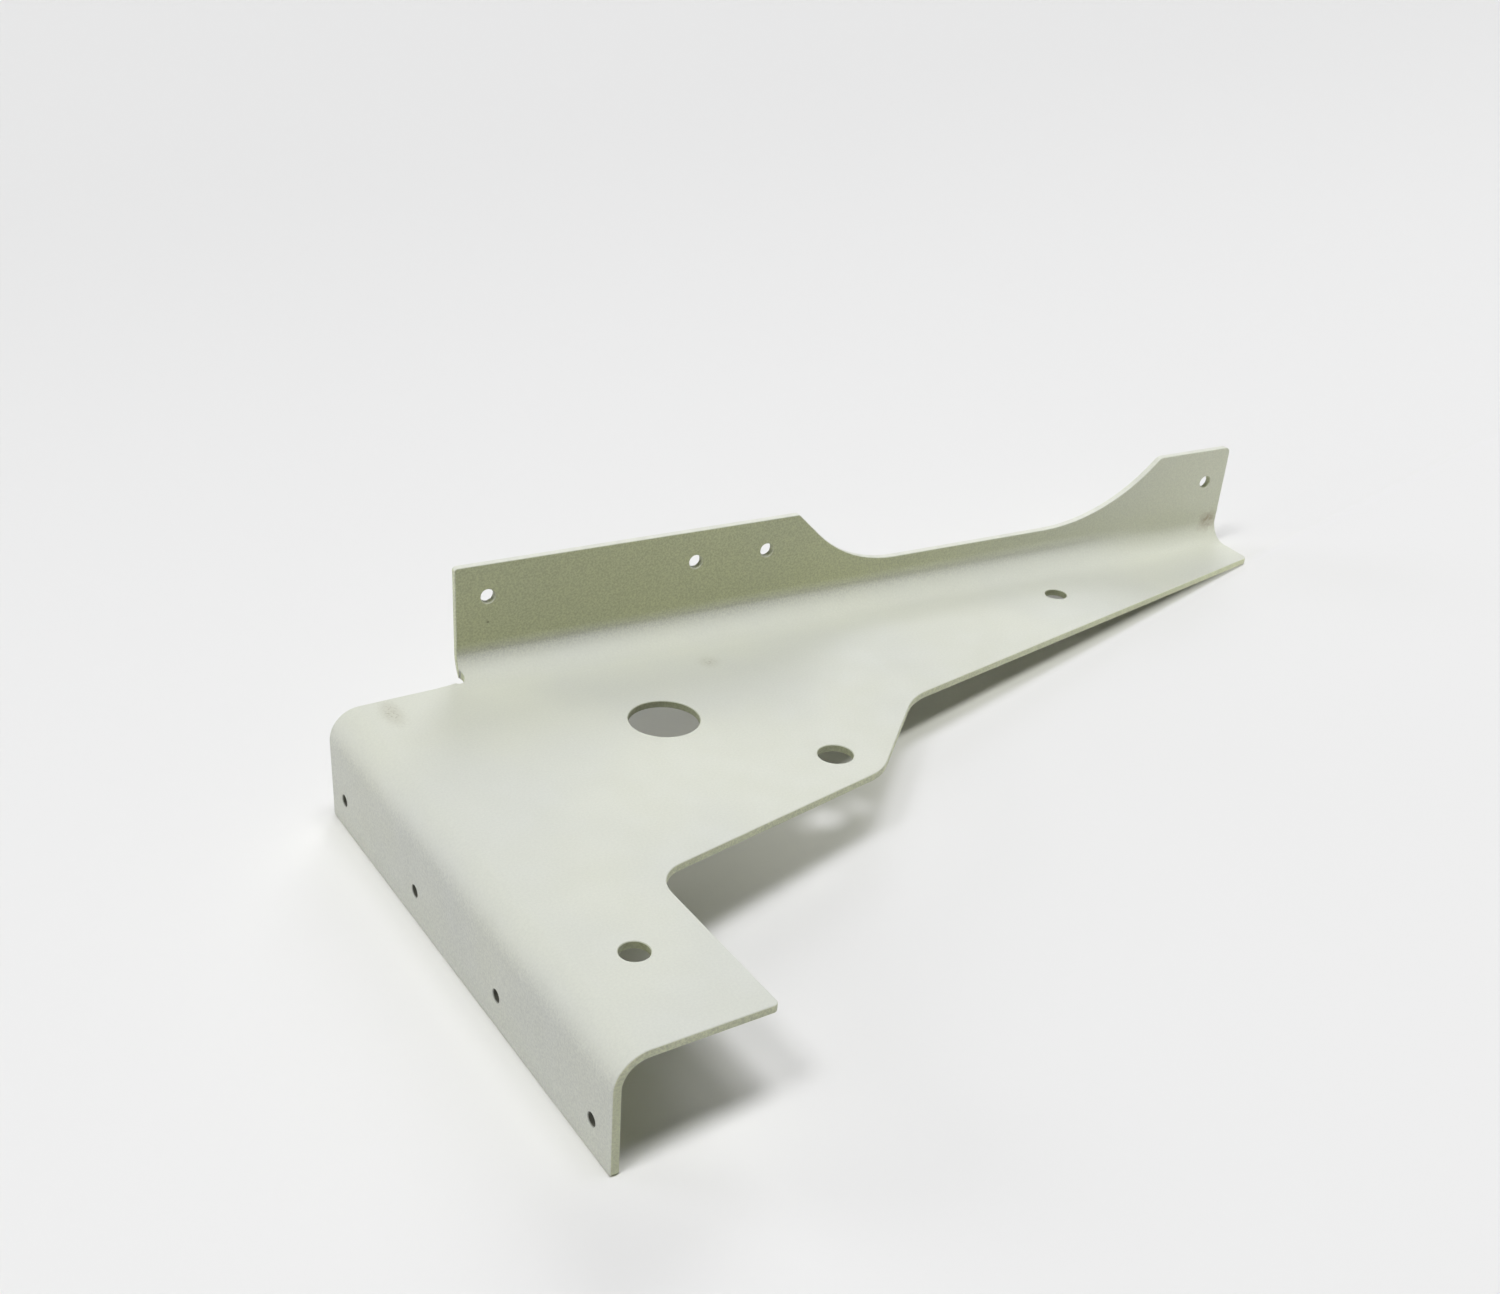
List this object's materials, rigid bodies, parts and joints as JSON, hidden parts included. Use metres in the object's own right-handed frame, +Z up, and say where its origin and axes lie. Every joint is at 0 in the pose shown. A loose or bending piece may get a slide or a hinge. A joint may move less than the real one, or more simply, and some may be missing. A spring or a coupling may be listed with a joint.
{
  "type": "wing actuator bracket",
  "caption": "Folded and painted light-alloy sheet bracket: a tapering web with a stepped front edge, a long upturned flange with a scooped edge, and a short downturned flange.",
  "frame": {"origin": "centre of the large hole, on the web's top face", "axes": "+X along the upturned flange towards the tapering tail, +Y back to that flange, +Z up, square to the web"},
  "size_m": [0.3039, 0.1625, 0.0628],
  "materials": {
    "painted_alloy": "satin"
  },
  "bodies": {
    "root": {"bracket": "painted_alloy"}
  },
  "joints": []
}
